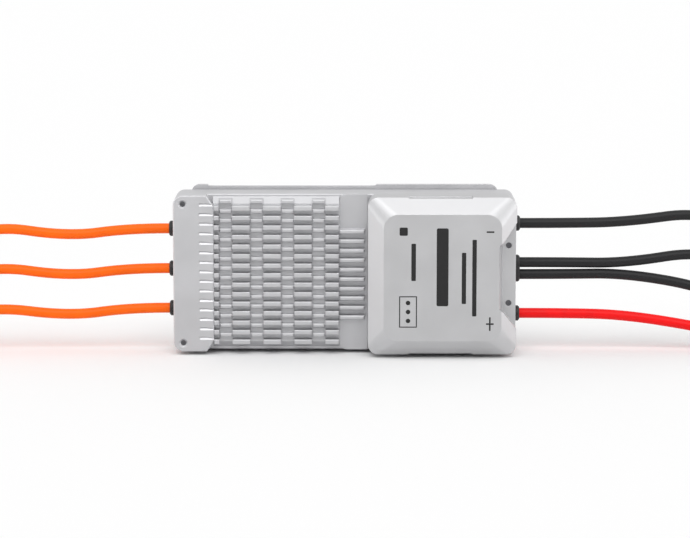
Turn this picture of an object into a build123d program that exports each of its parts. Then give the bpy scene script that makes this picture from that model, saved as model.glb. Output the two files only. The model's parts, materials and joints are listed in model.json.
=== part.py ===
"""Electronic speed controller for a large brushless motor, lying on its long edge.

X runs along the case, from the phase leads (-X) to the battery leads (+X).
Y runs through its thickness, from the finned front (-Y) to the mounting back (+Y).
Z is up. The ears of the base plate rest on Z = 0. All lengths are in millimetres.
"""

from build123d import *
import math
import os

os.makedirs("parts", exist_ok=True)

# ---- driving dimensions: case ------------------------------------------------
case_length = 152.0
case_width = 70.0
ear_reach = 1.6            # how far the base plate's ears stand out past the case
case_corner = 4.2
wall = 3.0
middle = case_width / 2 + ear_reach    # height of the case's long centre line

# depths, measured along Y
cover_front = -20.0
cover_edge = -14.0
pad_front = -7.0
field_front = 0.0          # floor between the pad and the cover, where the fins start
field_back = 3.4
split = 11.0               # parting plane of housing and tray, centre plane of the leads
tray_floor = 15.0
tray_back = 17.5
plate_back = 20.0

# ---- driving dimensions: fins --------------------------------------------------
fin_count = 15
fin_pitch = 4.27
fin_thickness = 2.2
fin_tip = pad_front
fin_floor = -2.7           # raised bed that the fins stand on, with sloping edges
bed_half = 31.0
fin_shift = -0.75          # the fin rows sit slightly low in the case
field_left = -58.0
fin_right = -2.4
ramp_left = -64.4          # where the grooves run out into the pad
ramp_taper = -61.2         # and where they start to narrow towards the fins
ramp_height = 1.3
ramp_end_height = 0.7
ramp_lean = 0.55           # depth of a run-out's flank for each millimetre of its height
notch_width = 5.8
notch_pitch = 13.77
first_notch = -52.8
notch_count = 4
fin_edge = 0.3             # chamfer round every fin tip
rib_thickness = 2.1        # low ribs that stagger with the fins
rib_tip = -5.2
rib_edge = 0.55
rib_shift = 0.7            # the short ribs sit a little above the fins' mid spacing
rib_right = 9.0
edge_break = 0.45          # chamfer along the casting's front edges
pad_slant_left = -61.3     # the pad's inner corners are cut off from here
pad_slant_height = 5.0
step_front = -1.2          # low step between the last ribs and the cover
step_corner = 3.6

# ---- driving dimensions: cover ---------------------------------------------------
cover_left = 10.3
cover_right = case_length / 2 - 0.1
cover_bevel = 6.9
cover_corner = 4.5
plateau_corner = 6.5
cover_wall = 2.2
ledge_depth = -8.0
ledge_inner = 15.5         # half height of the screw ledge at its inner end
ledge_outer = 24.2         # half height of the screw ledge at the case's end
ledge_top = 68.0           # the ledge's inner wall leans from here on the plateau
ledge_start = 69.9         # to here at its foot
strip_length = 28.0
strip_depth = 0.5
strip_middle = 42.3
opening_margin = 2.6       # room round the block of capacitors in the housing's opening

# ---- driving dimensions: seals and base plate ---------------------------------
seal_inset = 1.1
seal_width = 1.0
seal_depth = 0.8
plate_half = 69.1
ear_left_end = -61.2
ear_right_start = 13.9
ear_top = 2.2              # the upper ears stand a little higher than the lower ones
ear_slope = 3.0
waist_top = 36.5           # half heights of the plate between its ears
waist_bottom = 35.6
back_chamfer = 1.0
plate_chamfer = 0.5
plate_corner = 4.0

# ---- driving dimensions: boards and parts on them -----------------------------
board_front = 6.5
board_thickness = 1.6
board_back = board_front + board_thickness
board_length = 138.0
board_width = 61.5
can_diameter = 16.0
can_middle = 39.8
can_length = 21.5
control_front = 11.4
control_thickness = 1.2
control_length = 64.0
control_width = 36.0
control_middle = -6.0
spacer_radius = 2.3
board_screw_radius = 1.2
mosfet_columns = 4
mosfet_rows = 6
mosfet_middle = -28.0
mosfet_height = 2.3
shunt_height = 1.4
ceramic_height = 1.6
busbar_height = 1.0
chip_height = 1.2

# ---- driving dimensions: leads -------------------------------------------------
lead_diameter = 4.6
core_diameter = 3.2
exit_face = 78.7           # outer face of every gland
phase_pitch = 18.05
battery_offset = 20.45
signal_offset = 2.7
gland_outer = 6.95
gland_waist = 6.0
gland_chamfer = 0.6
signal_slot = 11.2         # height of the double gland's waist
collar_lip = 1.0           # how much taller its outer collar is
collar_depth = 1.2         # thickness of the collars inside the wall
strip_x = 66.5             # where the insulation ends inside the case
terminal_x = 61.0
bullet_diameter = 5.5
bullet_length = 11.0
bullet_slot = 0.5
sleeve_diameter = 7.0
sleeve_length = 12.0
plug_height = 6.0
plug_width = 9.0
plug_length = 12.0

# ---- driving dimensions: fasteners ---------------------------------------------
pad_screw_x = -71.7
pad_screw_z = 31.1
cover_screw_x = 72.7
cover_screw_z = 12.9
tray_screw_x = 69.0
tray_screw_z = 30.2
plate_screw_x = 58.0       # spacing of the base plate's screws
plate_screw_z = 62.0
mount_x = 46.0             # half spacing of the tapped mounting holes
mount_z = 24.0
mount_tap = 2.5            # tapping drill of an M3 thread
small_screw_radius = 1.0   # M2 screws through the pad
pad_head_radius = 1.2
cover_head_radius = 1.25
cover_shank_radius = 0.9
socket_radius = 0.6
tray_shank_radius = 1.2
tray_head_radius = 2.6
plate_shank_radius = 0.95
plate_head_radius = 2.2
pillar = 9.0               # side of the solid pillars round the corner screws
pillar_clearance = 2.0     # how much larger the boards' cut-outs are
cover_pillar = 6.0


def facing_front(depth):
    """Plane at a given Y whose normal points to the front and whose origin is the case's middle."""
    return Plane(origin=(0, depth, middle), x_dir=(1, 0, 0), z_dir=(0, -1, 0))


def facing_right(x):
    """Plane at a given X whose normal is +X, with local x along Y and local y along Z."""
    return Plane(origin=(x, split, middle), x_dir=(0, 1, 0), z_dir=(1, 0, 0))


def finish(piece, name):
    """Label a finished piece and write its STEP file."""
    piece.part.label = name
    export_step(piece.part, f"parts/{name}.step")


phase_heights = [phase_pitch, 0.0, -phase_pitch]
battery_heights = [battery_offset, -battery_offset]
signal_heights = [signal_offset, -signal_offset]
pad_screw_spots = [(pad_screw_x, pad_screw_z), (pad_screw_x, -pad_screw_z)]
cover_screw_spots = [(cover_screw_x, cover_screw_z), (cover_screw_x, -cover_screw_z)]
tray_screw_spots = [(tray_screw_x, tray_screw_z), (tray_screw_x, -tray_screw_z)]
notch_centres = [first_notch + notch_pitch * i for i in range(notch_count)]
fin_heights = [fin_shift + fin_pitch * (i - (fin_count - 1) / 2) for i in range(fin_count)]
rib_heights = [z + fin_pitch / 2 + rib_shift for z in fin_heights]
cover_middle = (cover_left + cover_right) / 2
cover_length = cover_right - cover_left

# ---- heatsink housing ------------------------------------------------------------
# above each fin a narrow groove runs out into the end pad; its lower flank looks up at a slant


def ramp_section(x, z, height):
    """Cross-section of a run-out: a right triangle cut into the pad's front."""
    front = pad_front - split
    with BuildSketch(facing_right(x)) as section:
        with BuildLine():
            Polyline((front - ramp_lean * 0.5, z - 0.5), (front + ramp_lean * height, z + height),
                     (front - ramp_lean * 0.5, z + height), close=True)
        make_face()
    return section.sketch


with BuildPart() as groove_ramps:
    for z in fin_heights:
        base = z + fin_thickness / 2 - 0.1
        wide = ramp_section(ramp_taper, base, ramp_height)
        narrow = ramp_section(field_left + 0.3, base, ramp_end_height)
        extrude(wide, amount=ramp_left - ramp_taper)
        loft([wide, narrow])

with BuildPart() as heatsink_housing:
    with BuildSketch(facing_front(split)):
        RectangleRounded(case_length, case_width, case_corner)
    extrude(amount=split - field_front - edge_break)
    with BuildSketch(facing_front(field_front + edge_break)) as case_outline:
        RectangleRounded(case_length, case_width, case_corner)
    extrude(amount=edge_break, taper=45)
    # end pad, level with the fin tips, with its inner corners cut off at a slant
    with BuildSketch(facing_front(field_front + 1)) as pad_outline:
        with BuildLine():
            Polyline(
                (-case_length / 2, -case_width / 2),
                (pad_slant_left, -case_width / 2),
                (field_left, -case_width / 2 + pad_slant_height),
                (field_left, case_width / 2 - pad_slant_height),
                (pad_slant_left, case_width / 2),
                (-case_length / 2, case_width / 2),
                close=True,
            )
        make_face()
        RectangleRounded(case_length, case_width, case_corner, mode=Mode.INTERSECT)
    extrude(amount=field_front + 1 - pad_front - edge_break)
    with BuildSketch(facing_front(pad_front + edge_break)):
        add(pad_outline.sketch_local)
    extrude(amount=edge_break, taper=45)
    # low step beside the cover
    with BuildSketch(facing_front(field_front + 1)):
        with Locations(((fin_right + cover_left) / 2, 0)):
            RectangleRounded(cover_left - fin_right, case_width, step_corner)
        with Locations((cover_left - step_corner / 2, 0)):
            Rectangle(step_corner, case_width)
    extrude(amount=field_front + 1 - step_front)
    # raised bed under the fins, sloping down to the floor above and below them
    rise = field_front - fin_floor
    with BuildSketch(facing_right(field_left - 0.5)):
        with Locations((0, fin_shift)):
            with BuildLine():
                Polyline(
                    (field_front - split + 0.5, -bed_half - rise),
                    (field_front - split, -bed_half - rise),
                    (fin_floor - split, -bed_half),
                    (fin_floor - split, bed_half),
                    (field_front - split, bed_half + rise),
                    (field_front - split + 0.5, bed_half + rise),
                    close=True,
                )
            make_face()
    extrude(amount=fin_right - field_left + 0.5)
    # fins, each cut into short lengths by the notch columns
    segment_ends = [field_left] + [x + side * notch_width / 2 for x in notch_centres
                                   for side in (-1, 1)] + [fin_right]
    for start, end in zip(segment_ends[::2], segment_ends[1::2]):
        with BuildSketch(facing_front(field_front)):
            with Locations([((start + end) / 2, z) for z in fin_heights]):
                Rectangle(end - start, fin_thickness)
        extrude(amount=field_front - fin_tip - fin_edge)
        with BuildSketch(facing_front(fin_tip + fin_edge)):
            with Locations([((start + end) / 2, z) for z in fin_heights]):
                Rectangle(end - start, fin_thickness)
        extrude(amount=fin_edge, taper=45)
    # short ribs in the notch columns, between the fins' lines, and a field of longer ones
    rib_spots = [(x, z, notch_width) for x in notch_centres for z in rib_heights]
    rib_spots += [((fin_right + rib_right) / 2, z - rib_shift, rib_right - fin_right)
                  for z in rib_heights[2:12]]
    for depth, height, slope in ((field_front, field_front - rib_tip - rib_edge, 0),
                                 (rib_tip + rib_edge, rib_edge, 45)):
        with BuildSketch(facing_front(depth)):
            for x, z, length in rib_spots:
                with Locations((x, z)):
                    Rectangle(length, rib_thickness)
        extrude(amount=height, taper=slope)
    add(groove_ramps.part, mode=Mode.SUBTRACT)
    # cavity for the boards
    with BuildSketch(facing_front(split)):
        RectangleRounded(case_length - 2 * wall, case_width - 2 * wall, case_corner - 2)
        with Locations(pad_screw_spots):
            Rectangle(pillar, pillar, mode=Mode.SUBTRACT)
        with Locations(tray_screw_spots):
            Rectangle(pillar, pillar - 1, mode=Mode.SUBTRACT)
        with Locations(cover_screw_spots):
            Rectangle(cover_pillar, cover_pillar, mode=Mode.SUBTRACT)
    extrude(amount=split - field_back, mode=Mode.SUBTRACT)
    # opening under the cover, for the capacitors
    with BuildSketch(facing_front(split)):
        with Locations((can_middle, 0)):
            RectangleRounded(3 * can_diameter + opening_margin, case_width - 10, 3)
    extrude(amount=split - field_front, mode=Mode.SUBTRACT)
    # threads for the cover's screws
    with Locations(facing_front(field_front)):
        with Locations(cover_screw_spots):
            Hole(cover_shank_radius + 0.05, depth=6)
    # pad screws pass right through; their heads sit in countersinks
    with Locations(facing_front(pad_front)):
        with Locations(pad_screw_spots):
            CounterSinkHole(pad_head_radius, 1.9, counter_sink_angle=90)
    with Locations(Plane(facing_front(split).origin, x_dir=(1, 0, 0), z_dir=(0, 1, 0))):
        with Locations(tray_screw_spots):
            Hole(tray_shank_radius + 0.05, depth=8)
    # half-round seats for the glands, cut through the end walls
    for side, heights in ((-1, phase_heights), (1, battery_heights)):
        with BuildSketch(facing_right(side * (case_length / 2 - wall / 2))):
            with Locations([(0, z) for z in heights]):
                Circle(gland_waist / 2)
        extrude(amount=wall / 2 + 0.1, both=True, mode=Mode.SUBTRACT)
    with BuildSketch(facing_right(case_length / 2 - wall / 2)):
        SlotOverall(signal_slot, gland_waist, rotation=90)
    extrude(amount=wall / 2 + 0.1, both=True, mode=Mode.SUBTRACT)
    # groove for the cover's gasket
    with BuildSketch(facing_front(field_front)):
        with Locations((cover_middle, 0)):
            RectangleRounded(cover_length - 2 * seal_inset, case_width - 2 * seal_inset, 3.2)
            RectangleRounded(cover_length - 2 * (seal_inset + seal_width),
                             case_width - 2 * (seal_inset + seal_width), 2.2, mode=Mode.SUBTRACT)
    extrude(amount=-seal_depth, mode=Mode.SUBTRACT)
finish(heatsink_housing, "heatsink_housing")

# ---- capacitor cover ---------------------------------------------------------------
inner_length = cover_length - 2 * cover_wall
inner_width = case_width - 2 * cover_wall
with BuildPart() as cover_hollow:
    with BuildSketch(facing_front(field_front)):
        with Locations((cover_middle, 0)):
            RectangleRounded(inner_length, inner_width, cover_corner - 2)
    extrude(amount=field_front - cover_edge)
    with BuildSketch(facing_front(cover_edge)):
        with Locations((cover_middle, 0)):
            RectangleRounded(inner_length, inner_width, cover_corner - 2)
    with BuildSketch(facing_front(cover_front + cover_wall)):
        with Locations((cover_middle, 0)):
            RectangleRounded(inner_length - 9, inner_width - 9, plateau_corner - 2)
    loft()
    # the ledge's floor and slanted wall keep their thickness inside the hollow
    with BuildSketch(Plane(origin=(0, 0, middle - ledge_outer - 2), x_dir=(1, 0, 0), z_dir=(0, 0, -1))):
        with BuildLine():
            Polyline(
                (ledge_top - 2.4, -cover_front),
                (ledge_start - 2.4, -(ledge_depth + 2.6)),
                (case_length / 2, -(ledge_depth + 2.6)),
                (case_length / 2, -cover_front),
                close=True,
            )
        make_face()
    extrude(amount=-2 * (ledge_outer + 2), mode=Mode.SUBTRACT)
    # posts that stand on the housing and carry the cover's screws
    with BuildSketch(facing_front(field_front)):
        with Locations(cover_screw_spots):
            Rectangle(cover_pillar, cover_pillar + 0.4)
    extrude(amount=field_front - cover_front, mode=Mode.SUBTRACT)

with BuildPart() as ledge_cut:
    with BuildSketch(facing_front(cover_front - 1)):
        with BuildLine():
            Polyline(
                (ledge_top - 1, ledge_inner - 2.0),
                (ledge_start, ledge_inner),
                (case_length / 2 + 1, ledge_outer + 1),
                (case_length / 2 + 1, -ledge_outer - 1),
                (ledge_start, -ledge_inner),
                (ledge_top - 1, -ledge_inner + 2.0),
                close=True,
            )
        make_face()
    extrude(amount=-(ledge_depth - cover_front + 1))
    with BuildSketch(Plane(origin=(0, 0, 0), x_dir=(1, 0, 0), z_dir=(0, 0, -1))):
        with BuildLine():
            Polyline(
                (ledge_top - 0.2, -(cover_front - 1)),
                (ledge_top, -cover_front),
                (ledge_start, -ledge_depth),
                (case_length / 2 + 1, -ledge_depth),
                (case_length / 2 + 1, -(cover_front - 1)),
                close=True,
            )
        make_face()
    extrude(amount=-2 * middle, mode=Mode.INTERSECT)

with BuildPart() as capacitor_cover:
    with BuildSketch(facing_front(field_front)):
        with Locations((cover_middle, 0)):
            RectangleRounded(cover_length, case_width, cover_corner)
    extrude(amount=field_front - cover_edge)
    with BuildSketch(facing_front(cover_edge)):
        with Locations((cover_middle, 0)):
            RectangleRounded(cover_length, case_width, cover_corner)
    with BuildSketch(facing_front(cover_front)):
        with Locations((cover_middle, 0)):
            RectangleRounded(cover_length - 2 * cover_bevel, case_width - 2 * cover_bevel, plateau_corner)
    loft()
    add(cover_hollow.part, mode=Mode.SUBTRACT)
    add(ledge_cut.part, mode=Mode.SUBTRACT)
    # shallow finger strips on both long edges
    with BuildSketch(facing_front(cover_edge - 1)):
        with Locations((strip_middle, case_width / 2), (strip_middle, -case_width / 2)):
            Rectangle(strip_length, 2 * strip_depth)
    extrude(amount=-5, mode=Mode.SUBTRACT)
    with Locations(facing_front(ledge_depth)):
        with Locations(cover_screw_spots):
            CounterBoreHole(cover_shank_radius + 0.15, cover_head_radius + 0.1, 0.9)
finish(capacitor_cover, "capacitor_cover")

with BuildPart() as cover_gasket:
    with BuildSketch(facing_front(field_front)):
        with Locations((cover_middle, 0)):
            RectangleRounded(cover_length - 2 * seal_inset, case_width - 2 * seal_inset, 3.2)
            RectangleRounded(cover_length - 2 * (seal_inset + seal_width),
                             case_width - 2 * (seal_inset + seal_width), 2.2, mode=Mode.SUBTRACT)
    extrude(amount=-seal_depth)
finish(cover_gasket, "cover_gasket")

# ---- base tray and base plate -----------------------------------------------------
with BuildPart() as base_tray:
    with BuildSketch(facing_front(split)):
        RectangleRounded(case_length, case_width, case_corner)
    extrude(amount=-(tray_back - split))
    with BuildSketch(facing_front(split)):
        RectangleRounded(case_length - 2 * wall, case_width - 2 * wall, case_corner - 2)
        with Locations(pad_screw_spots):
            Rectangle(pillar, pillar, mode=Mode.SUBTRACT)
        with Locations(tray_screw_spots):
            Rectangle(pillar, pillar - 1, mode=Mode.SUBTRACT)
    extrude(amount=-(tray_floor - split), mode=Mode.SUBTRACT)
    # soft outer edge round the back
    chamfer(base_tray.faces().sort_by(Axis.Y)[-1].outer_wire().edges(), back_chamfer)
    with Locations(facing_front(split)):
        with Locations(pad_screw_spots):
            Hole(small_screw_radius, depth=3.5)
    with Locations(Plane(facing_front(tray_back).origin, x_dir=(1, 0, 0), z_dir=(0, 1, 0))):
        with Locations(tray_screw_spots):
            CounterSinkHole(tray_shank_radius + 0.45, tray_head_radius + 0.3, counter_sink_angle=90)
        with GridLocations(2 * mount_x, 2 * mount_z, 2, 2):
            Hole(mount_tap / 2 + 0.35, depth=1.2)
        with GridLocations(plate_screw_x, plate_screw_z, 3, 2):
            Hole(plate_shank_radius, depth=1.8)
    for side, heights in ((-1, phase_heights), (1, battery_heights)):
        with BuildSketch(facing_right(side * (case_length / 2 - wall / 2))):
            with Locations([(0, z) for z in heights]):
                Circle(gland_waist / 2)
        extrude(amount=wall / 2 + 0.1, both=True, mode=Mode.SUBTRACT)
    with BuildSketch(facing_right(case_length / 2 - wall / 2)):
        SlotOverall(signal_slot, gland_waist, rotation=90)
    extrude(amount=wall / 2 + 0.1, both=True, mode=Mode.SUBTRACT)
    with BuildSketch(facing_front(split)):
        RectangleRounded(case_length - 2 * seal_inset, case_width - 2 * seal_inset, 3.1)
        RectangleRounded(case_length - 2 * (seal_inset + seal_width),
                         case_width - 2 * (seal_inset + seal_width), 2.2, mode=Mode.SUBTRACT)
    extrude(amount=-seal_depth, mode=Mode.SUBTRACT)
finish(base_tray, "base_tray")

with BuildPart() as housing_gasket:
    with BuildSketch(facing_front(split)):
        RectangleRounded(case_length - 2 * seal_inset, case_width - 2 * seal_inset, 3.1)
        RectangleRounded(case_length - 2 * (seal_inset + seal_width),
                         case_width - 2 * (seal_inset + seal_width), 2.2, mode=Mode.SUBTRACT)
        # the glands interrupt the seal at both ends
        with Locations([(-case_length / 2, z) for z in phase_heights]):
            Rectangle(8, gland_waist + 0.4, mode=Mode.SUBTRACT)
        with Locations([(case_length / 2, z) for z in battery_heights]):
            Rectangle(8, gland_waist + 0.4, mode=Mode.SUBTRACT)
        with Locations((case_length / 2, 0)):
            Rectangle(8, signal_slot + 0.4, mode=Mode.SUBTRACT)
    extrude(amount=-seal_depth)
finish(housing_gasket, "housing_gasket")

with BuildPart() as base_plate:
    with BuildSketch(facing_front(plate_back)):
        with Locations((0, (ear_top - ear_reach) / 2)):
            RectangleRounded(2 * plate_half, case_width + ear_reach + ear_top, plate_corner)
        for edge, waist in ((-1, waist_bottom), (1, waist_top)):
            with BuildLine():
                Polyline(
                    (ear_left_end - 1, edge * (middle + 1)),
                    (ear_left_end, edge * middle),
                    (ear_left_end + ear_slope, edge * waist),
                    (ear_right_start - ear_slope, edge * waist),
                    (ear_right_start, edge * middle),
                    (ear_right_start + 1, edge * (middle + 1)),
                    close=True,
                )
            make_face(mode=Mode.SUBTRACT)
    extrude(amount=plate_back - tray_back)
    chamfer(base_plate.faces().sort_by(Axis.Y)[-1].outer_wire().edges(), plate_chamfer)
    with Locations(Plane(facing_front(plate_back).origin, x_dir=(1, 0, 0), z_dir=(0, 1, 0))):
        with GridLocations(2 * mount_x, 2 * mount_z, 2, 2):
            Hole(mount_tap / 2)
        with GridLocations(plate_screw_x, plate_screw_z, 3, 2):
            CounterSinkHole(plate_shank_radius + 0.4, plate_head_radius + 0.2, counter_sink_angle=90)
        # clearance over the tray's own screws
        with Locations(tray_screw_spots):
            Hole(tray_head_radius + 0.8)
finish(base_plate, "base_plate")

# ---- boards and what they carry ------------------------------------------------------
board_holes = [(-50.0, 27.6), (2.0, 27.6), (-50.0, -27.6), (2.0, -27.6)]
with BuildPart() as power_board:
    with BuildSketch(facing_front(board_back)):
        with Locations((1.0, 0)):
            RectangleRounded(board_length, board_width, 1.5)
        # clear of the screw pillars in the four corners and at the cover's ledge
        with Locations(pad_screw_spots):
            Rectangle(pillar + pillar_clearance, pillar + pillar_clearance, mode=Mode.SUBTRACT)
        with Locations(tray_screw_spots):
            Rectangle(pillar + pillar_clearance, pillar - 1 + pillar_clearance, mode=Mode.SUBTRACT)
        with Locations(cover_screw_spots):
            Rectangle(cover_pillar + 1.6, cover_pillar + 1, mode=Mode.SUBTRACT)
        with Locations(board_holes):
            Circle(board_screw_radius + 0.1, mode=Mode.SUBTRACT)
    extrude(amount=board_thickness)
finish(power_board, "power_board")

with BuildPart() as board_spacers:
    with BuildSketch(facing_front(board_front)):
        with Locations(board_holes):
            Circle(spacer_radius)
            Circle(board_screw_radius + 0.1, mode=Mode.SUBTRACT)
    extrude(amount=board_front - field_back)
finish(board_spacers, "board_spacers")

with BuildPart() as board_screws:
    with BuildSketch(facing_front(board_back + 1.2)):
        with Locations(board_holes):
            Circle(spacer_radius - 0.1)
    extrude(amount=1.2)
    with BuildSketch(facing_front(board_back)):
        with Locations(board_holes):
            Circle(board_screw_radius)
    extrude(amount=board_back - field_back)
finish(board_screws, "board_screws")

with BuildPart() as mosfets:
    with BuildSketch(facing_front(board_front)):
        with Locations((mosfet_middle, 0)):
            with GridLocations(11.4, 8.3, mosfet_columns, mosfet_rows):
                Rectangle(9.2, 6.8)
    extrude(amount=mosfet_height)
finish(mosfets, "mosfets")

with BuildPart() as thermal_pad:
    with BuildSketch(facing_front(board_front - mosfet_height)):
        with Locations((mosfet_middle, 0)):
            RectangleRounded(45.5, 50.5, 1.0)
    extrude(amount=board_front - mosfet_height - field_back)
finish(thermal_pad, "thermal_pad")

with BuildPart() as bulk_capacitors:
    with BuildSketch(facing_front(board_front)):
        with Locations((can_middle, 0)):
            with GridLocations(can_diameter + 0.4, 20.0, 3, 3):
                Circle(can_diameter / 2)
    extrude(amount=can_length)
    chamfer(bulk_capacitors.edges().group_by(Axis.Y)[0], 0.7)
finish(bulk_capacitors, "bulk_capacitors")

with BuildPart() as control_board:
    with BuildSketch(facing_front(control_front + control_thickness)):
        with Locations((control_middle, 0)):
            RectangleRounded(control_length, control_width, 1.5)
    extrude(amount=control_thickness)
finish(control_board, "control_board")

with BuildPart() as control_chips:
    with BuildSketch(facing_front(control_front + control_thickness + chip_height)):
        with Locations((control_middle, 0)):
            Rectangle(9.0, 9.0)
        with Locations((-28.0, 10.5), (-28.0, 0), (-28.0, -10.5)):
            Rectangle(6.0, 5.0)
        with Locations((14.0, 9.0), (14.0, -9.0)):
            Rectangle(5.0, 4.0)
    extrude(amount=chip_height)
finish(control_chips, "control_chips")

with BuildPart() as board_headers:
    with BuildSketch(facing_front(control_front)):
        with Locations((-36.0, 0), (24.0, 0)):
            Rectangle(2.6, 30.0)
    extrude(amount=control_front - board_back)
finish(board_headers, "board_headers")

with BuildPart() as current_shunts:
    with BuildSketch(facing_front(board_back + shunt_height)):
        with Locations([(-48.0, z) for z in phase_heights]):
            Rectangle(6.5, 8.0)
    extrude(amount=shunt_height)
finish(current_shunts, "current_shunts")

with BuildPart() as ceramic_capacitors:
    with BuildSketch(facing_front(board_back + ceramic_height)):
        for edge in (-1, 1):
            with Locations((-24.0, edge * 23.0)):
                with GridLocations(4.6, 1, 8, 1):
                    Rectangle(3.2, 5.0)
    extrude(amount=ceramic_height)
finish(ceramic_capacitors, "ceramic_capacitors")

with BuildPart() as battery_busbars:
    with BuildSketch(facing_front(board_back + busbar_height)):
        for edge in (-1, 1):
            with Locations((32.0, edge * 24.2)):
                RectangleRounded(48.0, 4.6, 1.0)
    extrude(amount=busbar_height)
finish(battery_busbars, "battery_busbars")

core_bottom = split - core_diameter / 2
with BuildPart() as phase_terminals:
    with BuildSketch(facing_front(core_bottom)):
        with Locations([(-terminal_x, z) for z in phase_heights]):
            RectangleRounded(8.0, 7.0, 0.8)
    extrude(amount=core_bottom - board_back)
finish(phase_terminals, "phase_terminals")

with BuildPart() as battery_terminals:
    with BuildSketch(facing_front(core_bottom)):
        with Locations([(terminal_x - 1, z) for z in battery_heights]):
            RectangleRounded(8.0, 6.0, 0.8)
    extrude(amount=core_bottom - board_back)
finish(battery_terminals, "battery_terminals")

with BuildPart() as signal_header:
    with BuildSketch(facing_front(tray_floor - 0.3)):
        with Locations((terminal_x - 2, 0)):
            RectangleRounded(7.0, 13.0, 0.6)
    extrude(amount=tray_floor - 0.3 - board_back)
finish(signal_header, "signal_header")

# ---- glands: a collar outside, a waist in the wall and a collar inside --------------------
wall_outside = case_length / 2
wall_inside = wall_outside - wall


def round_glands(side, heights):
    """Solids of the round glands in one end wall."""
    with BuildPart() as glands:
        for z in heights:
            with BuildSketch(facing_right(side * wall_inside)):
                with Locations((0, z)):
                    Circle(gland_waist / 2)
            extrude(amount=side * wall)
            with BuildSketch(facing_right(side * wall_outside)):
                with Locations((0, z)):
                    Circle(gland_outer / 2)
            extrude(amount=side * (exit_face - wall_outside))
            with BuildSketch(facing_right(side * wall_inside)):
                with Locations((0, z)):
                    Circle(gland_outer / 2 - 0.1)
            extrude(amount=-side * collar_depth)
            with BuildSketch(facing_right(side * (wall_inside - 2))):
                with Locations((0, z)):
                    Circle(lead_diameter / 2)
            extrude(amount=side * (wall + 5), mode=Mode.SUBTRACT)
        rims = glands.edges().filter_by(GeomType.CIRCLE).filter_by_position(
            Axis.X, side * exit_face - 0.01, side * exit_face + 0.01)
        chamfer([rim for rim in rims if rim.radius > gland_waist / 2], gland_chamfer)
    return glands


phase_glands = round_glands(-1, phase_heights)
finish(phase_glands, "phase_glands")
battery_glands = round_glands(1, battery_heights)
finish(battery_glands, "battery_glands")

with BuildPart() as signal_gland:
    with BuildSketch(facing_right(wall_inside)):
        SlotOverall(signal_slot, gland_waist, rotation=90)
    extrude(amount=wall)
    with BuildSketch(facing_right(wall_outside)):
        SlotOverall(signal_slot + collar_lip, gland_outer, rotation=90)
    extrude(amount=exit_face - wall_outside)
    with BuildSketch(facing_right(wall_inside)):
        SlotOverall(signal_slot + collar_lip - 0.2, gland_outer - 0.2, rotation=90)
    extrude(amount=-collar_depth)
    chamfer(signal_gland.faces().sort_by(Axis.X)[-1].outer_wire().edges(), gland_chamfer)
    with BuildSketch(facing_right(wall_inside - 2)):
        with Locations([(0, z) for z in signal_heights]):
            Circle(lead_diameter / 2)
    extrude(amount=wall + 5, mode=Mode.SUBTRACT)
finish(signal_gland, "signal_gland")

# ---- inner ends of the leads ---------------------------------------------------------
def inner_tails(side, heights, end_x, diameter, start_x):
    """Straight round lengths along X, one at each height."""
    with BuildPart() as tails:
        with BuildSketch(facing_right(side * start_x)):
            with Locations([(0, z) for z in heights]):
                Circle(diameter / 2)
        extrude(amount=-side * (start_x - end_x))
    return tails


phase_lead_tails = inner_tails(-1, phase_heights, strip_x, lead_diameter, exit_face)
finish(phase_lead_tails, "phase_lead_tails")
battery_lead_tails = inner_tails(1, battery_heights, strip_x, lead_diameter, exit_face)
finish(battery_lead_tails, "battery_lead_tails")
signal_lead_tails = inner_tails(1, signal_heights, terminal_x + 1.5, lead_diameter, exit_face)
finish(signal_lead_tails, "signal_lead_tails")
phase_lead_cores = inner_tails(-1, phase_heights, terminal_x - 3, core_diameter, strip_x)
finish(phase_lead_cores, "phase_lead_cores")
battery_lead_cores = inner_tails(1, battery_heights, terminal_x - 4, core_diameter, strip_x)
finish(battery_lead_cores, "battery_lead_cores")

# ---- fasteners ---------------------------------------------------------------------
with BuildPart() as housing_screws:
    with BuildSketch(facing_front(pad_front + 1.9)):
        with Locations(pad_screw_spots):
            Circle(small_screw_radius)
    extrude(amount=-(split + 3.2 - pad_front - 1.9))
    with BuildSketch(facing_front(pad_front + 0.7)):
        with Locations(pad_screw_spots):
            Circle(pad_head_radius)
    extrude(amount=-1.2)
    with Locations(facing_front(pad_front + 0.7)):
        with Locations(pad_screw_spots):
            Cylinder(socket_radius, 1.2, mode=Mode.SUBTRACT)
finish(housing_screws, "housing_screws")

with BuildPart() as cover_screws:
    with BuildSketch(facing_front(ledge_depth + 0.9)):
        with Locations(cover_screw_spots):
            Circle(cover_head_radius)
    extrude(amount=0.8)
    with BuildSketch(facing_front(ledge_depth + 0.9)):
        with Locations(cover_screw_spots):
            Circle(cover_shank_radius)
    extrude(amount=-11.0)
    with Locations(facing_front(ledge_depth + 0.1)):
        with Locations(cover_screw_spots):
            Cylinder(socket_radius, 0.9, mode=Mode.SUBTRACT)
finish(cover_screws, "cover_screws")

facing_back = Plane(facing_front(tray_back).origin, x_dir=(1, 0, 0), z_dir=(0, 1, 0))
with BuildPart() as tray_screws:
    with BuildSketch(facing_back):
        with Locations(tray_screw_spots):
            Circle(tray_shank_radius)
    extrude(amount=-11.0)
    with Locations(facing_back.offset(-0.7)):
        with Locations(tray_screw_spots):
            Cone(tray_shank_radius, tray_head_radius, 1.4)
    with Locations(facing_back):
        with Locations(tray_screw_spots):
            Cylinder(socket_radius + 0.2, 1.6, mode=Mode.SUBTRACT)
finish(tray_screws, "tray_screws")

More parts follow.
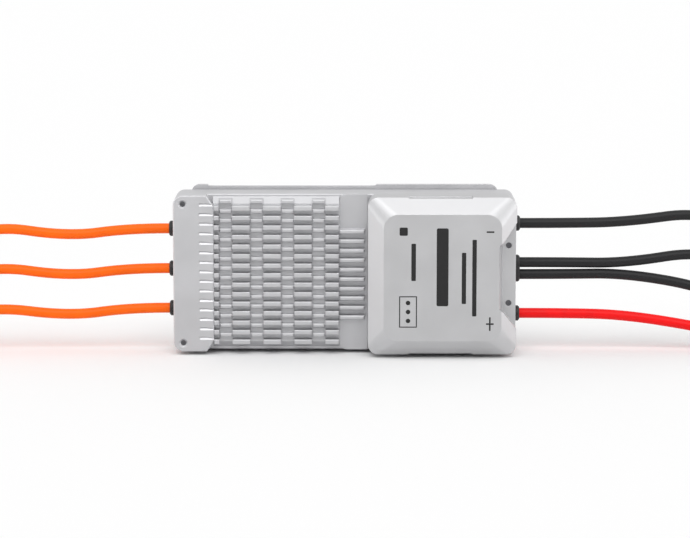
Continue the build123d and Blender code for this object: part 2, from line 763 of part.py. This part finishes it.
plate_plane = facing_back.offset(plate_back - tray_back)
with BuildPart() as base_plate_screws:
    with BuildSketch(plate_plane):
        with GridLocations(plate_screw_x, plate_screw_z, 3, 2):
            Circle(plate_shank_radius)
    extrude(amount=-4.0)
    with Locations(plate_plane.offset(-0.75)):
        with GridLocations(plate_screw_x, plate_screw_z, 3, 2):
            Cone(plate_shank_radius, plate_head_radius, 1.3)
    with Locations(plate_plane):
        with GridLocations(plate_screw_x, plate_screw_z, 3, 2):
            Cylinder(socket_radius + 0.05, 1.4, mode=Mode.SUBTRACT)
finish(base_plate_screws, "base_plate_screws")

# ---- free leads ----------------------------------------------------------------------
# Each route leaves its gland level, then falls to the ground plane beyond the case's ends.
lead_radius = lead_diameter / 2
phase_routes = {
    "phase_lead_a": [(-78.7, 11, 54.65), (-97, 11, 54.65), (-124, 11, 50.9), (-160, 12, 56.2),
                     (-187, 16, 41), (-201, 19, 16), (-218, 20, 3.5), (-235, 20, 3.5)],
    "phase_lead_b": [(-78.7, 11, 36.6), (-97, 11, 36.6), (-124, 11, 32.8), (-160, 11, 38),
                     (-187, 10, 26), (-206, 9, 9), (-225, 8, 3.5), (-243, 8, 3.5)],
    "phase_lead_c": [(-78.7, 11, 18.55), (-97, 11, 18.55), (-124, 11, 14.7), (-160, 9, 19.6),
                     (-187, 4, 11), (-208, -2, 3.6), (-227, -4, 3.5), (-245, -4, 3.5)],
}
battery_routes = {
    "battery_lead_negative": [(78.7, 11, 57.05), (98, 11, 57.05), (126, 11, 57.5), (162, 12, 62.4),
                              (187, 16, 48), (200, 20, 24), (213, 22, 8), (232, 22, 3.5),
                              (249, 22, 3.5)],
    "battery_lead_positive": [(78.7, 11, 16.15), (98, 11, 16.15), (126, 11, 15.4), (160, 9, 10.2),
                              (190, 3, 4.4), (213, -3, 2.9), (234, -6, 3.5), (252, -6, 3.5)],
}
signal_routes = {
    "signal_lead_upper": [(78.7, 11, 39.3), (98, 11, 39.3), (126, 11, 38.9), (162, 12, 44.6),
                          (188, 13, 33), (204, 14, 13), (221, 14, 3), (239, 14, 3)],
    "signal_lead_lower": [(78.7, 11, 33.9), (98, 11, 33.9), (126, 11, 34.3), (162, 10, 28.2),
                          (188, 6, 16.5), (208, 4, 5.2), (228, 3.5, 3), (246, 3.5, 3)],
}


def route_radii(points):
    """Corner radii of a route: 0.45 of the shorter run over the tangent of half the turn."""
    corners = [Vector(*p) for p in points]
    runs = [b - a for a, b in zip(corners, corners[1:])]
    radii = []
    for run, following in zip(runs, runs[1:]):
        half_turn = math.radians(run.get_angle(following)) / 2
        radii.append(0.45 * min(run.length, following.length) / math.tan(half_turn))
    return radii


def make_lead(name, points):
    """A lead's tube of straight runs joined by tangent arcs; prints its radii, length and volume."""
    radii = route_radii(points)
    with BuildPart() as lead:
        with BuildLine() as path:
            route = FilletPolyline(*points, radius=radii)
        with BuildSketch(Plane(origin=route @ 0, z_dir=route % 0)):
            Circle(lead_radius)
        sweep()
    section = math.pi * lead_radius ** 2
    print(name, "length", round(route.length, 1), "least radius", round(min(radii), 1),
          "volume ratio", round(lead.part.volume / (section * route.length), 4))
    finish(lead, name)


for name, points in (phase_routes | battery_routes | signal_routes).items():
    make_lead(name, points)


# ---- what the leads end in ---------------------------------------------------------------
def lead_end(points, direction):
    """Plane at a route's last point, facing away from the case along X."""
    return Plane(origin=points[-1], x_dir=(0, 1, 0), z_dir=(direction, 0, 0))


def make_bullet(name, points, direction):
    """Plug pin with two crossed slots, and the heat-shrink sleeve over its solder cup."""
    end = lead_end(points, direction)
    with BuildPart() as sleeve:
        with BuildSketch(end):
            Circle(sleeve_diameter / 2)
        extrude(amount=sleeve_length)
        chamfer(sleeve.edges().group_by(Axis.X)[0 if direction > 0 else -1], 0.8)
    finish(sleeve, name + "_sleeve")
    with BuildPart() as bullet:
        with BuildSketch(end.offset(sleeve_length)):
            Circle(bullet_diameter / 2)
        extrude(amount=bullet_length)
        chamfer(bullet.edges().group_by(Axis.X)[-1 if direction > 0 else 0], 0.9)
        for turn in (0, 90):
            slot_plane = end.offset(sleeve_length + bullet_length).rotated((0, 0, turn))
            with BuildSketch(slot_plane):
                Rectangle(bullet_slot, bullet_diameter + 1)
            extrude(amount=-8.0, mode=Mode.SUBTRACT)
    finish(bullet, name + "_bullet")


for name, points in phase_routes.items():
    make_bullet(name.replace("_lead", ""), points, -1)
for name, points in battery_routes.items():
    make_bullet(name.replace("_lead", ""), points, 1)

for name, points in signal_routes.items():
    with BuildPart() as plug:
        with BuildSketch(lead_end(points, 1)):
            RectangleRounded(plug_width, plug_height, 0.8)
        extrude(amount=plug_length)
        with BuildSketch(lead_end(points, 1).offset(plug_length)):
            Rectangle(plug_width - 1.8, plug_height - 1.8)
        extrude(amount=-5.0, mode=Mode.SUBTRACT)
    finish(plug, name.replace("_lead", "") + "_plug")
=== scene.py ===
"""Looks for the electronic speed controller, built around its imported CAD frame.

Every length is in metres, in the CAD's frame: X along the case, Y from the finned
front to the mounting back, Z up.
"""

import json
import math

import bmesh
import bpy
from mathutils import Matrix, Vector

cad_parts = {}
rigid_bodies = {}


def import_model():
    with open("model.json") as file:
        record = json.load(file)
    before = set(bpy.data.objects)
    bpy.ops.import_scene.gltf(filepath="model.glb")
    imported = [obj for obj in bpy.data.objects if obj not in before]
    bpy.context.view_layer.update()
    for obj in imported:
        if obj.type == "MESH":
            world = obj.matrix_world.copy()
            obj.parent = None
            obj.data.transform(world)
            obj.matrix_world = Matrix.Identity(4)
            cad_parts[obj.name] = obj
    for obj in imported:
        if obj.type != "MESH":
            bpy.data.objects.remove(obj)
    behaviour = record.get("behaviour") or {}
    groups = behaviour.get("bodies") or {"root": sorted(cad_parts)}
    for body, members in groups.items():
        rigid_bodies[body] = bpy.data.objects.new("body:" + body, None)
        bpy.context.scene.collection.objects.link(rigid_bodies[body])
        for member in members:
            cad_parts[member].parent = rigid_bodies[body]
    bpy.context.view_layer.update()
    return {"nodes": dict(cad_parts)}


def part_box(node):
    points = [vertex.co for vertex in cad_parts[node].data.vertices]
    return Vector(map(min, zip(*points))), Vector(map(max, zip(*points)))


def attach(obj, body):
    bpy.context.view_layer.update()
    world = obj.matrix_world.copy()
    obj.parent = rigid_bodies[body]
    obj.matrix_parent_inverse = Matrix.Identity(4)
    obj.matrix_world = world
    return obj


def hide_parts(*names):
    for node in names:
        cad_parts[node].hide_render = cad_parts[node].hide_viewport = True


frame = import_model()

MM = 0.001
NODES = frame["nodes"]


# ---- camera ----------------------------------------------------------------------------

CAMERA_DISTANCE = 1.19
CAMERA_ELEVATION = math.radians(8.3)
CAMERA_LENS = 140.0
LOOK_AT = Vector((0.0002, -0.007, 0.0388))


def add_camera():
    """Camera at the photograph's angle: square to the front, a little above."""
    data = bpy.data.cameras.new("camera")
    data.lens = CAMERA_LENS
    data.sensor_width = 36.0
    camera = bpy.data.objects.new("camera", data)
    bpy.context.collection.objects.link(camera)
    back = Vector((0, -math.cos(CAMERA_ELEVATION), math.sin(CAMERA_ELEVATION)))
    camera.location = LOOK_AT + back * CAMERA_DISTANCE
    camera.rotation_euler = (math.pi / 2 - CAMERA_ELEVATION, 0, 0)
    bpy.context.scene.camera = camera


add_camera()


# ---- node material helpers -----------------------------------------------------------------

EDGE_SOFTNESS = 0.35 * MM      # radius of the fillet that a casting's edges are shaded with
EDGE_SAMPLES = 6
CAST_GRAIN = 0.012 * MM        # heights of the surfaces' fine texture
BRUSH_LINE = 0.01 * MM
MOULD_GRAIN = 0.02 * MM
TRACK_HEIGHT = 0.03 * MM


class Surface:
    """A Principled material with a bump chain, built up one layer at a time."""

    def __init__(self, name, colour, metallic=0.0, roughness=0.5, **sockets):
        self.material = bpy.data.materials.new(name)
        self.material.use_nodes = True
        self.nodes = self.material.node_tree.nodes
        self.links = self.material.node_tree.links
        self.shader = self.nodes["Principled BSDF"]
        self.shader.inputs["Base Color"].default_value = (*colour, 1.0)
        self.shader.inputs["Metallic"].default_value = metallic
        self.shader.inputs["Roughness"].default_value = roughness
        for socket, value in sockets.items():
            self.shader.inputs[socket.replace("_", " ")].default_value = value
        self.colour = colour
        self.roughness = roughness
        self.place = self.nodes.new("ShaderNodeTexCoord").outputs["Object"]
        self.normal = None

    def soften_edges(self, radius):
        """Rounds the shading of every edge, as if it had a small fillet."""
        node = self.nodes.new("ShaderNodeBevel")
        node.samples = EDGE_SAMPLES
        node.inputs["Radius"].default_value = radius
        self.normal = node.outputs["Normal"]
        self.links.new(self.normal, self.shader.inputs["Normal"])

    def noise(self, scale, detail=3.0, roughness=0.55, stretch=None):
        """A noise texture in metres; stretch squeezes its coordinates along each axis."""
        texture = self.nodes.new("ShaderNodeTexNoise")
        texture.inputs["Scale"].default_value = scale
        texture.inputs["Detail"].default_value = detail
        texture.inputs["Roughness"].default_value = roughness
        place = self.place
        if stretch:
            mapping = self.nodes.new("ShaderNodeMapping")
            mapping.inputs["Scale"].default_value = stretch
            self.links.new(place, mapping.inputs["Vector"])
            place = mapping.outputs["Vector"]
        self.links.new(place, texture.inputs["Vector"])
        return texture.outputs["Fac"]

    def spread(self, value, low, high, from_low=0.3, from_high=0.7):
        """Maps a 0-to-1 value onto low..high."""
        node = self.nodes.new("ShaderNodeMapRange")
        node.inputs["From Min"].default_value = from_low
        node.inputs["From Max"].default_value = from_high
        node.inputs["To Min"].default_value = low
        node.inputs["To Max"].default_value = high
        self.links.new(value, node.inputs["Value"])
        return node.outputs["Result"]

    def mottle(self, value, low, high):
        """Base colour scaled between low and high by a value."""
        node = self.nodes.new("ShaderNodeMix")
        node.data_type = "RGBA"
        node.inputs["A"].default_value = (*[c * low for c in self.colour], 1.0)
        node.inputs["B"].default_value = (*[c * high for c in self.colour], 1.0)
        self.links.new(value, node.inputs["Factor"])
        self.links.new(node.outputs["Result"], self.shader.inputs["Base Color"])

    def vary_roughness(self, value, low, high):
        self.links.new(self.spread(value, low, high), self.shader.inputs["Roughness"])

    def bump(self, value, height, strength=1.0):
        """Adds one layer of bump, height in metres."""
        node = self.nodes.new("ShaderNodeBump")
        node.inputs["Strength"].default_value = strength
        node.inputs["Distance"].default_value = height
        self.links.new(value, node.inputs["Height"])
        if self.normal:
            self.links.new(self.normal, node.inputs["Normal"])
        self.normal = node.outputs["Normal"]
        self.links.new(self.normal, self.shader.inputs["Normal"])


def cast_aluminium(name, colour, roughness):
    """Bead-blasted, clear-anodised casting: fine grain with soft cloudy variation."""
    surface = Surface(name, colour, metallic=1.0, roughness=roughness)
    surface.soften_edges(EDGE_SOFTNESS)
    cloud = surface.noise(60, 4)
    grain = surface.noise(5200, 2)
    surface.mottle(surface.spread(cloud, 0.0, 1.0), 0.965, 1.03)
    surface.vary_roughness(cloud, roughness - 0.03, roughness + 0.04)
    surface.bump(grain, CAST_GRAIN, 0.35)
    return surface.material


def machined_metal(name, colour, roughness, stretch=(1, 1, 1)):
    """Turned or brushed metal with fine lines along the axis that stretch leaves long."""
    surface = Surface(name, colour, metallic=1.0, roughness=roughness)
    lines = surface.noise(1500, 3, stretch=stretch)
    surface.mottle(surface.spread(lines, 0.0, 1.0), 0.9, 1.05)
    surface.vary_roughness(lines, roughness - 0.06, roughness + 0.08)
    surface.bump(lines, BRUSH_LINE, 0.4)
    return surface.material


def silicone(name, colour, roughness=0.42):
    """Silicone insulation: a soft sheen, faint draw marks and a trace of dust."""
    surface = Surface(name, colour, roughness=roughness, Specular_IOR_Level=0.22)
    cloud = surface.noise(140, 4)
    grain = surface.noise(2600, 2)
    surface.mottle(surface.spread(cloud, 0.0, 1.0), 0.93, 1.06)
    surface.vary_roughness(cloud, roughness - 0.05, roughness + 0.06)
    surface.bump(grain, MOULD_GRAIN, 0.3)
    return surface.material


def moulded_plastic(name, colour, roughness):
    """Moulded plastic or rubber with a fine tool texture."""
    surface = Surface(name, colour, roughness=roughness)
    cloud = surface.noise(220, 3)
    grain = surface.noise(3800, 2)
    surface.mottle(surface.spread(cloud, 0.0, 1.0), 0.9, 1.08)
    surface.vary_roughness(cloud, roughness - 0.05, roughness + 0.06)
    surface.bump(grain, MOULD_GRAIN, 0.35)
    return surface.material


def board_laminate(name):
    """Green solder mask over copper tracks."""
    surface = Surface(name, (0.012, 0.09, 0.045), roughness=0.35, Coat_Weight=0.4)
    bricks = surface.nodes.new("ShaderNodeTexBrick")
    bricks.inputs["Scale"].default_value = 240
    bricks.inputs["Mortar Size"].default_value = 0.03
    surface.links.new(surface.place, bricks.inputs["Vector"])
    surface.mottle(surface.spread(bricks.outputs["Fac"], 0.0, 1.0, 0.0, 1.0), 1.0, 0.72)
    surface.vary_roughness(surface.noise(900, 3), 0.3, 0.42)
    surface.bump(bricks.outputs["Fac"], TRACK_HEIGHT, 0.4)
    return surface.material


CASTING = cast_aluminium("silver_casting", (0.63, 0.63, 0.645), 0.5)
COVER_METAL = cast_aluminium("silver_cover", (0.605, 0.605, 0.615), 0.48)
PLATE_METAL = cast_aluminium("silver_plate", (0.6, 0.6, 0.612), 0.5)
DARK_STEEL = machined_metal("dark_steel", (0.15, 0.15, 0.16), 0.38)
COPPER = machined_metal("copper_metal", (0.78, 0.38, 0.22), 0.3)
BRASS = machined_metal("brass_metal", (0.75, 0.55, 0.24), 0.3)
GOLD = machined_metal("gold_plate", (0.95, 0.68, 0.25), 0.24, stretch=(0.05, 1, 1))
TIN = machined_metal("tinned_copper", (0.7, 0.69, 0.66), 0.36, stretch=(0.05, 1, 1))
ORANGE = silicone("orange_silicone", (1.0, 0.14, 0.0))
RED = silicone("red_silicone", (0.9, 0.004, 0.005))
BLACK = silicone("black_silicone", (0.018, 0.018, 0.019))
GLAND_RUBBER = moulded_plastic("gland_rubber", (0.014, 0.014, 0.015), 0.5)
SEAL_RUBBER = moulded_plastic("seal_rubber", (0.02, 0.02, 0.02), 0.65)
CHIP_PLASTIC = moulded_plastic("chip_plastic", (0.02, 0.02, 0.022), 0.55)
PLUG_PLASTIC = moulded_plastic("plug_plastic", (0.02, 0.02, 0.022), 0.48)
CAN_SLEEVE = moulded_plastic("can_sleeve", (0.015, 0.016, 0.035), 0.3)
CERAMIC = moulded_plastic("ceramic_tan", (0.32, 0.2, 0.11), 0.45)
THERMAL_PAD = moulded_plastic("pad_silicone", (0.3, 0.36, 0.5), 0.7)
SLEEVE_BLACK = moulded_plastic("sleeve_black", (0.018, 0.018, 0.019), 0.36)
SLEEVE_RED = moulded_plastic("sleeve_red", (0.7, 0.012, 0.01), 0.36)
LAMINATE = board_laminate("board_laminate")
INK = moulded_plastic("print_ink", (0.006, 0.0055, 0.006), 0.6)

NODE_MATERIALS = {
    CASTING: ["heatsink_housing", "base_tray"],
    COVER_METAL: ["capacitor_cover"],
    PLATE_METAL: ["base_plate"],
    DARK_STEEL: ["board_screws", "housing_screws", "cover_screws", "tray_screws", "base_plate_screws"],
    COPPER: ["current_shunts", "battery_busbars", "phase_terminals", "battery_terminals"],
    BRASS: ["board_spacers"],
    GOLD: ["phase_a_bullet", "phase_b_bullet", "phase_c_bullet",
           "battery_negative_bullet", "battery_positive_bullet"],
    TIN: ["phase_lead_cores", "battery_lead_cores"],
    ORANGE: ["phase_lead_tails", "phase_lead_a", "phase_lead_b", "phase_lead_c"],
    RED: ["battery_lead_positive"],
    BLACK: ["battery_lead_tails", "signal_lead_tails", "battery_lead_negative",
            "signal_lead_upper", "signal_lead_lower"],
    GLAND_RUBBER: ["phase_glands", "battery_glands", "signal_gland"],
    SEAL_RUBBER: ["cover_gasket", "housing_gasket"],
    CHIP_PLASTIC: ["mosfets", "control_chips", "board_headers"],
    PLUG_PLASTIC: ["signal_header", "signal_upper_plug", "signal_lower_plug"],
    CAN_SLEEVE: ["bulk_capacitors"],
    CERAMIC: ["ceramic_capacitors"],
    THERMAL_PAD: ["thermal_pad"],
    SLEEVE_BLACK: ["phase_a_sleeve", "phase_b_sleeve", "phase_c_sleeve", "battery_negative_sleeve"],
    SLEEVE_RED: ["battery_positive_sleeve"],
    LAMINATE: ["power_board", "control_board"],
}


def dress_nodes():
    for material, names in NODE_MATERIALS.items():
        for name in names:
            for slot in NODES[name].material_slots:
                slot.material = material


dress_nodes()


# ---- free leads ------------------------------------------------------------------------------

LEAD_DIAMETER = 4.6 * MM
ROUND_STEPS = 8                # smoothness round a lead and along it
LENGTH_STEPS = 16
# Each route starts at its gland's face and ends at its plug, in millimetres.
PHASE_ROUTES = {
    "a": [(-78.7, 11, 54.65), (-97, 11, 54.65), (-124, 11, 50.9), (-160, 12, 56.2),
          (-187, 16, 41), (-201, 19, 16), (-218, 20, 3.5), (-235, 20, 3.5)],
    "b": [(-78.7, 11, 36.6), (-97, 11, 36.6), (-124, 11, 32.8), (-160, 11, 38),
          (-187, 10, 26), (-206, 9, 9), (-225, 8, 3.5), (-243, 8, 3.5)],
    "c": [(-78.7, 11, 18.55), (-97, 11, 18.55), (-124, 11, 14.7), (-160, 9, 19.6),
          (-187, 4, 11), (-208, -2, 3.6), (-227, -4, 3.5), (-245, -4, 3.5)],
}
BATTERY_ROUTES = {
    "negative": [(78.7, 11, 57.05), (98, 11, 57.05), (126, 11, 57.5), (162, 12, 62.4),
                 (187, 16, 48), (200, 20, 24), (213, 22, 8), (232, 22, 3.5),
                 (249, 22, 3.5)],
    "positive": [(78.7, 11, 16.15), (98, 11, 16.15), (126, 11, 15.4), (160, 9, 10.2),
                 (190, 3, 4.4), (213, -3, 2.9), (234, -6, 3.5), (252, -6, 3.5)],
}
SIGNAL_ROUTES = {
    "upper": [(78.7, 11, 39.3), (98, 11, 39.3), (126, 11, 38.9), (162, 12, 44.6),
              (188, 13, 33), (204, 14, 13), (221, 14, 3), (239, 14, 3)],
    "lower": [(78.7, 11, 33.9), (98, 11, 33.9), (126, 11, 34.3), (162, 10, 28.2),
              (188, 6, 16.5), (208, 4, 5.2), (228, 3.5, 3), (246, 3.5, 3)],
}


def lead(name, node, route, material):
    """A free lead: one smooth NURBS line through its route's control points."""
    curve = bpy.data.curves.new(name, "CURVE")
    curve.dimensions = "3D"
    curve.bevel_depth = LEAD_DIAMETER / 2
    curve.bevel_resolution = ROUND_STEPS
    curve.resolution_u = LENGTH_STEPS
    spline = curve.splines.new("NURBS")
    spline.points.add(len(route) - 1)
    for point, place in zip(spline.points, route):
        point.co = (*[v * MM for v in place], 1.0)
    spline.order_u = 3
    spline.use_endpoint_u = True
    curve.materials.append(material)
    piece = bpy.data.objects.new(name, curve)
    bpy.context.collection.objects.link(piece)
    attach(piece, "root")
    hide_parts(node)


for key, length in (("a", 0.177), ("b", 0.173), ("c", 0.170)):
    lead(f"phase_wire_{key}", f"phase_lead_{key}", PHASE_ROUTES[key], ORANGE)
for key, length, material, slot in (("negative", 0.195, BLACK, "black_silicone"),
                                    ("positive", 0.176, RED, "red_silicone")):
    lead(f"battery_wire_{key}", f"battery_lead_{key}", BATTERY_ROUTES[key], material)
for key, length in (("upper", 0.174), ("lower", 0.173)):
    lead(f"signal_wire_{key}", f"signal_lead_{key}", SIGNAL_ROUTES[key], BLACK)


# ---- printed marks ---------------------------------------------------------------------------

PRINT_THICKNESS = 0.03 * MM
CORNER_STEPS = 3               # straight lengths in a bar's rounded corner
DISC_STEPS = 24


def print_on_front(name, outlines, material, depth):
    """Flat ink shapes on a face that looks to the front; outlines hold (x, z) points in millimetres."""
    mesh = bpy.data.meshes.new(name)
    work = bmesh.new()
    for outline in outlines:
        front = [work.verts.new((x * MM, depth - PRINT_THICKNESS, z * MM)) for x, z in outline]
        back = [work.verts.new((x * MM, depth, z * MM)) for x, z in outline]
        work.faces.new(front)
        for i, corner in enumerate(front):
            j = (i + 1) % len(front)
            work.faces.new((corner, back[i], back[j], front[j]))
    bmesh.ops.recalc_face_normals(work, faces=work.faces)
    work.to_mesh(mesh)
    work.free()
    mesh.materials.append(material)
    piece = bpy.data.objects.new(name, mesh)
    bpy.context.collection.objects.link(piece)
    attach(piece, "root")


def bar(x, z, width, height, corner=0.35):
    """Outline of an upright bar with rounded corners, centred at x, z."""
    points = []
    for quarter, (side_x, side_z) in enumerate(((1, 1), (-1, 1), (-1, -1), (1, -1))):
        middle_x = x + side_x * (width / 2 - corner)
        middle_z = z + side_z * (height / 2 - corner)
        for step in range(CORNER_STEPS + 1):
            turn = math.radians(90 * (quarter + step / CORNER_STEPS))
            points.append((middle_x + corner * math.cos(turn), middle_z + corner * math.sin(turn)))
    return points


def disc(x, z, radius):
    turns = [math.tau * i / DISC_STEPS for i in range(DISC_STEPS)]
    return [(x + radius * math.cos(turn), z + radius * math.sin(turn)) for turn in turns]


def frame_lines(x, z, width, height, line):
    """Four thin bars that make a rectangle."""
    uprights = [bar(x + side * width / 2, z, line, height + line, 0.1) for side in (-1, 1)]
    levels = [bar(x, z + side * height / 2, width - line, line, 0.1) for side in (-1, 1)]
    return uprights + levels


COVER_LOW, COVER_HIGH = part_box("capacitor_cover")
PLATEAU_DEPTH = COVER_LOW[1]
MARKS_SHIFT = -1.6             # the marks' middle, along X from the cover's middle, in millimetres
SIGN_X = 22.4                  # the polarity signs stand beside the battery leads
SIGN_Z = 20.4
SIGN_WIDTH = 3.4
SIGN_LINE = 0.7
BOX_X, BOX_Z = -13.6, -15.0    # middle of the frame with the three discs
DISC_SPACING = 4.0


def add_cover_marks():
    """Plain bars, a frame and polarity signs, in dark ink, with nothing to read."""
    x, z = ((COVER_LOW[axis] + COVER_HIGH[axis]) / 2 / MM for axis in (0, 2))
    x += MARKS_SHIFT
    marks = [
        bar(x + 1.5, z + 4.8, 5.2, 34.5, 0.7),
        bar(x + 10.9, z - 0.1, 1.9, 22.7),
        bar(x + 15.5, z, 1.9, 34.0),
        bar(x - 11.2, z + 7.0, 2.0, 16.5),
    ]
    marks += frame_lines(x + BOX_X, z + BOX_Z, 7.4, 13.5, 0.45)
    marks += [disc(x + BOX_X, z + BOX_Z + DISC_SPACING * (i - 1), 1.0) for i in range(3)]
    marks += [bar(x - 15.6, z + 20.6, 3.6, 3.6, 0.5)]
    marks += [bar(x + SIGN_X, z + side * SIGN_Z, SIGN_WIDTH, SIGN_LINE, 0.2) for side in (1, -1)]
    marks += [bar(x + SIGN_X, z - SIGN_Z + side * SIGN_WIDTH / 2, SIGN_LINE, SIGN_WIDTH - SIGN_LINE, 0.2)
              for side in (1, -1)]
    print_on_front("cover_print", marks, INK, PLATEAU_DEPTH)


add_cover_marks()


# ---- floor, light and world ----------------------------------------------------------------

FLOOR_HALF = 6.0
FLOOR_WHITE = 0.95
FRONT_LIGHT = 0.12        # the studio is dark behind the camera
ROOM_LIGHT = 0.85         # and white above, beside and behind the object


def add_floor():
    mesh = bpy.data.meshes.new("floor")
    corners = [(-1, -1), (1, -1), (1, 1), (-1, 1)]
    mesh.from_pydata([(x * FLOOR_HALF, y * FLOOR_HALF, 0) for x, y in corners], [], [(0, 1, 2, 3)])
    floor = bpy.data.objects.new("floor", mesh)
    bpy.context.collection.objects.link(floor)
    surface = Surface("floor_paper", (FLOOR_WHITE, FLOOR_WHITE, FLOOR_WHITE), roughness=0.9)
    surface.shader.inputs["Specular IOR Level"].default_value = 0.0
    mesh.materials.append(surface.material)


def add_area(name, place, aim, size, power):
    data = bpy.data.lights.new(name, "AREA")
    data.shape = "RECTANGLE"
    data.size, data.size_y = size
    data.energy = power
    light = bpy.data.objects.new(name, data)
    bpy.context.collection.objects.link(light)
    light.location = place
    light.rotation_euler = (Vector(aim) - Vector(place)).to_track_quat("-Z", "Y").to_euler()
    return light


def add_sun(name, strength, spread, lean):
    """A soft sun, spread degrees wide, that leans towards the front by lean degrees."""
    data = bpy.data.lights.new(name, "SUN")
    data.energy = strength
    data.angle = math.radians(spread)
    light = bpy.data.objects.new(name, data)
    bpy.context.collection.objects.link(light)
    light.rotation_euler = (math.radians(lean), 0, 0)


def keep_off_floor(lights):
    """The lights act on the object alone, so they don't wash out its shadow on the floor."""
    pieces = bpy.data.collections.new("lit_pieces")
    for piece in bpy.context.scene.objects:
        if piece.type in {"MESH", "CURVE"} and piece.name != "floor":
            pieces.objects.link(piece)
    for light in lights:
        light.light_linking.receiver_collection = pieces


def add_lights():
    add_sun("front_key", 1.16, 50, 42)
    keep_off_floor([
        add_area("low_front_softbox", (0.0, -0.55, 0.30), (0, -0.03, 0.0), (1.0, 0.2), 0.4),
        add_area("left_softbox", (-1.1, -0.25, 0.35), (0, 0, 0.04), (0.8, 0.8), 2.9),
        add_area("right_softbox", (1.1, -0.25, 0.35), (0, 0, 0.04), (0.8, 0.8), 3.5),
    ])


def set_world():
    """White studio that falls off to a dark wall behind the camera, by direction alone."""
    world = bpy.data.worlds.new("studio")
    bpy.context.scene.world = world
    world.use_nodes = True
    nodes, links = world.node_tree.nodes, world.node_tree.links
    background = nodes["Background"]
    background.inputs["Color"].default_value = (1, 1, 1, 1)
    direction = nodes.new("ShaderNodeTexCoord").outputs["Generated"]
    parts = nodes.new("ShaderNodeSeparateXYZ")
    links.new(direction, parts.inputs["Vector"])
    levels = []
    for axis, dark, light in (("Y", -0.75, -0.1), ("Z", 0.3, 0.75)):
        node = nodes.new("ShaderNodeMapRange")
        node.interpolation_type = "SMOOTHSTEP"
        node.inputs["From Min"].default_value = dark
        node.inputs["From Max"].default_value = light
        node.inputs["To Min"].default_value = FRONT_LIGHT
        node.inputs["To Max"].default_value = ROOM_LIGHT
        links.new(parts.outputs[axis], node.inputs["Value"])
        levels.append(node.outputs["Result"])
    brighter = nodes.new("ShaderNodeMath")
    brighter.operation = "MAXIMUM"
    for level, socket in zip(levels, brighter.inputs):
        links.new(level, socket)
    links.new(brighter.outputs["Value"], background.inputs["Strength"])


add_floor()
add_lights()
set_world()
bpy.context.scene.view_settings.view_transform = "Standard"
